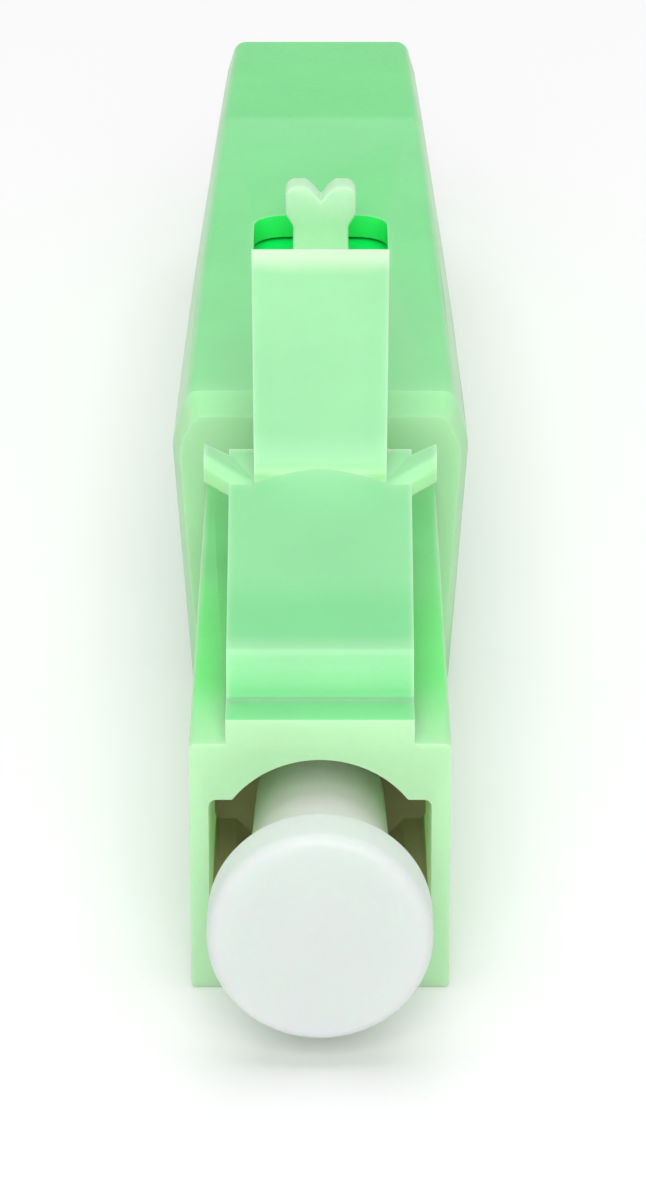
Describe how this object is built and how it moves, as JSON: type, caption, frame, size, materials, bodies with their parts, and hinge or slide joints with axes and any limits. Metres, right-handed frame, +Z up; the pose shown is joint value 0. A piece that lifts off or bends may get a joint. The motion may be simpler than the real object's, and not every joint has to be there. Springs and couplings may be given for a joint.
{
  "type": "fibre optic connector",
  "caption": "Small-form-factor angled-polish fibre connector for fitting in the field: square plug with sprung latch, slide-locked splice body, screw cable clamp and dust cap.",
  "frame": {"origin": "centre of the underside, on the surface the connector lies on", "axes": "+Y from the dust cap towards the cable entry, +Z up on the latch's side, +X to the right seen from the front"},
  "size_m": [0.0058, 0.0496, 0.0092],
  "materials": {
    "green_plastic": "satin",
    "pale_plastic": "satin",
    "clear_plastic": "gloss",
    "cap_plastic": "satin",
    "zirconia": "polished",
    "glass_fibre": "polished",
    "nickel_brass": "satin",
    "spring_steel": "satin",
    "black_rubber": "matte"
  },
  "bodies": {
    "housing": {"plug_frame": "green_plastic", "rear_shell": "green_plastic", "core_body": "pale_plastic", "core_cover": "pale_plastic", "fibre_guide": "clear_plastic", "ferrule_spring": "spring_steel"},
    "latch": {"latch_lever": "green_plastic"},
    "ferrule_unit": {"ferrule": "zirconia", "ferrule_flange": "nickel_brass", "stub_guide_tube": "pale_plastic", "fibre_stub": "glass_fibre", "splice_base": "pale_plastic", "splice_clip": "spring_steel"},
    "cap": {"dust_cap": "cap_plastic"},
    "slider": {"lock_slider": "green_plastic"},
    "lid_front": {"splice_lid_front": "clear_plastic"},
    "lid_rear": {"splice_lid_rear": "clear_plastic"},
    "nut": {"tail_nut": "green_plastic", "cable_grommet": "black_rubber"},
    "jaw_left": {"cable_jaw_left": "pale_plastic"},
    "jaw_right": {"cable_jaw_right": "pale_plastic"}
  },
  "joints": [
    {"name": "latch_flex", "type": "hinge", "parent": "housing", "child": "latch", "pos_m": [0, -0.02077, 0.0049], "axis": [-1, 0, 0], "range_deg": [0, 7], "stiffness_Nm_per_rad": 0.1},
    {"name": "ferrule_float", "type": "slide", "parent": "housing", "child": "ferrule_unit", "axis": [0, 1, 0], "range_m": [0, 0.0005], "stiffness_N_per_m": 1500, "springref_m": -0.003, "deforming": ["ferrule_spring"]},
    {"name": "cap_pull", "type": "slide", "parent": "ferrule_unit", "child": "cap", "axis": [0, -1, 0], "range_m": [0, 0.006]},
    {"name": "slider_lock", "type": "slide", "parent": "ferrule_unit", "child": "slider", "axis": [0, -1, 0], "range_m": [0, 0.0028]},
    {"name": "lid_front_press", "type": "slide", "parent": "ferrule_unit", "child": "lid_front", "axis": [0, 0, -1], "range_m": [0, 0.00012]},
    {"name": "lid_rear_press", "type": "slide", "parent": "ferrule_unit", "child": "lid_rear", "axis": [0, 0, -1], "range_m": [0, 0.00012]},
    {"name": "nut_turn", "type": "hinge", "parent": "housing", "child": "nut", "pos_m": [0, 0.02187, 0.00245], "axis": [0, -1, 0], "range_deg": [0, 720]},
    {"name": "jaw_left_close", "type": "hinge", "parent": "housing", "child": "jaw_left", "pos_m": [-0.00125, 0.01717, 0.00245], "axis": [0, 0, -1], "range_deg": [0, 1.2]},
    {"name": "jaw_right_close", "type": "hinge", "parent": "housing", "child": "jaw_right", "pos_m": [0.00125, 0.01717, 0.00245], "axis": [0, 0, 1], "range_deg": [0, 1.2]}
  ],
  "couplings": [
    {"joint": "lid_front_press", "follows": "slider_lock", "ratio": 0.042857},
    {"joint": "lid_rear_press", "follows": "slider_lock", "ratio": 0.042857},
    {"joint": "jaw_left_close", "follows": "nut_turn", "ratio": 0.0016667},
    {"joint": "jaw_right_close", "follows": "nut_turn", "ratio": 0.0016667}
  ]
}
